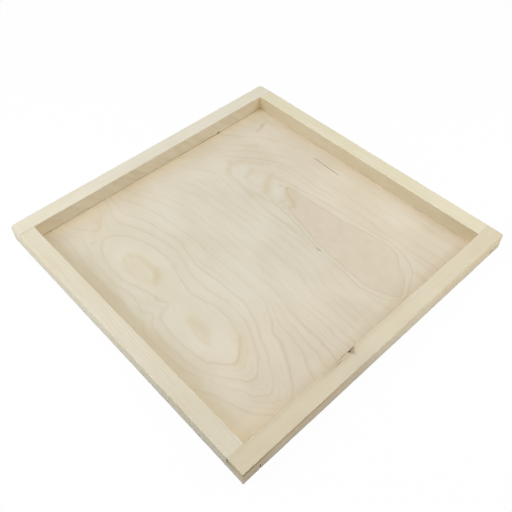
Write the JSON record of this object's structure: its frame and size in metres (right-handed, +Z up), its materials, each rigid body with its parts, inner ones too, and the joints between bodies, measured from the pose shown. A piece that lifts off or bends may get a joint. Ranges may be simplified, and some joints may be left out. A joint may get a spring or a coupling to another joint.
{
  "type": "hive inner cover",
  "caption": "Square wooden inner cover for a beehive: a rim of half-lapped rails round a thin plywood panel, making a shallow tray that lies on the hive body.",
  "frame": {"origin": "middle of the underside, in the plane that rests on the hive body", "axes": "+X along the front rail, +Y from the front rail to the back rail, +Z up out of the recess"},
  "size_m": [0.5, 0.5, 0.028],
  "materials": {
    "rail_timber": "planed and sanded, unfinished",
    "birch_plywood": "sanded rotary-cut veneer, unfinished",
    "wire_steel": "galvanised wire"
  },
  "bodies": {
    "root": {"front_rail": "rail_timber", "back_rail": "rail_timber", "left_rail": "rail_timber", "right_rail": "rail_timber", "panel": "birch_plywood", "corner_brads": "wire_steel", "panel_staples": "wire_steel"}
  },
  "joints": []
}
